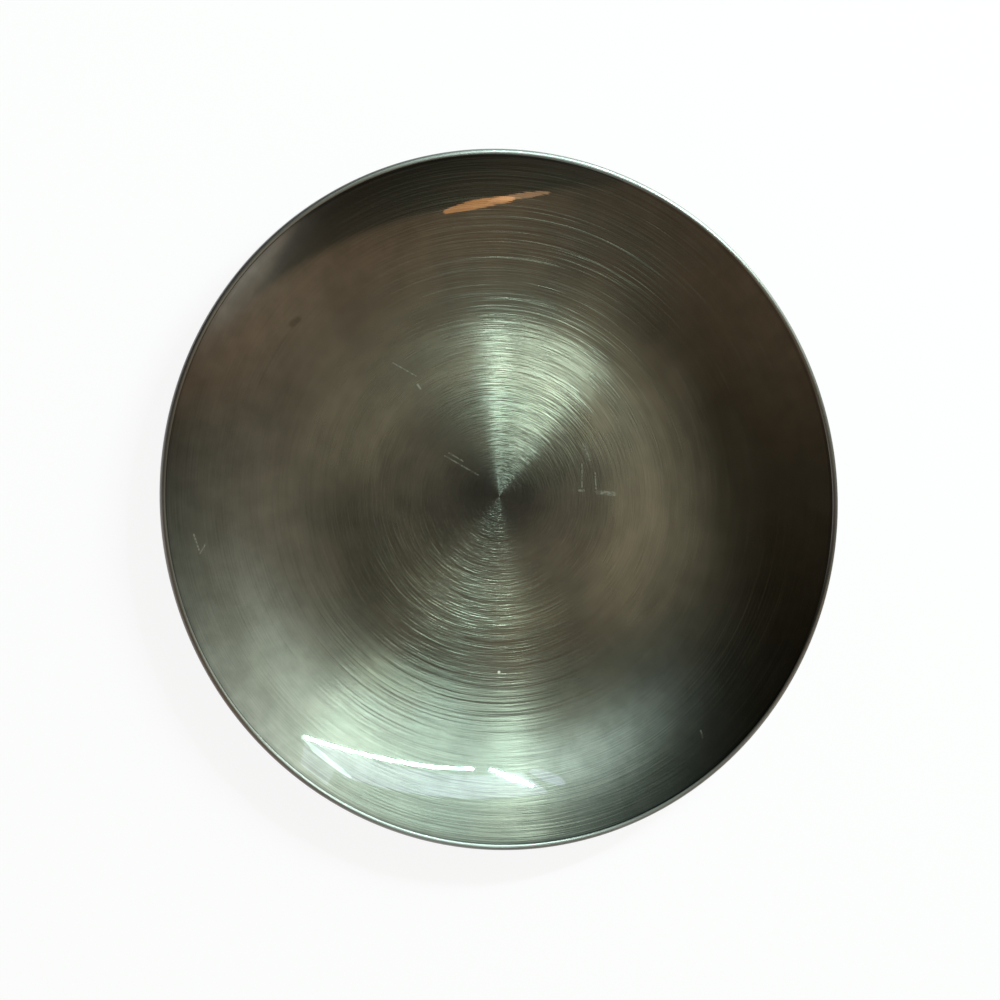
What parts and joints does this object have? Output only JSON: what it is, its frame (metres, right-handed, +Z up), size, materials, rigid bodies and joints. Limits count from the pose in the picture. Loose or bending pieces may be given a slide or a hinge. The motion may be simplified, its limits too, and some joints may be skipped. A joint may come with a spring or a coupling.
{
  "type": "serving platter",
  "caption": "Round shallow serving platter of dark brushed metal, with a flat well, a curved wall, a rolled and wired edge, and a low foot ring on soft bumpers.",
  "frame": {"origin": "on the table, straight under the centre of the dish", "axes": "+Z up along the axis that the dish is spun about; +X from the axis towards the first bumper"},
  "size_m": [0.33, 0.33, 0.0291],
  "materials": {
    "gunmetal": "fine circular brushing under a clear gloss lacquer",
    "wire_steel": "drawn, bare",
    "bumper_rubber": "moulded, matt"
  },
  "bodies": {
    "root": {"dish": "gunmetal", "rim_wire": "wire_steel", "foot_ring": "gunmetal", "bumper_1": "bumper_rubber", "bumper_2": "bumper_rubber", "bumper_3": "bumper_rubber", "bumper_4": "bumper_rubber", "bumper_5": "bumper_rubber", "bumper_6": "bumper_rubber"}
  },
  "joints": []
}
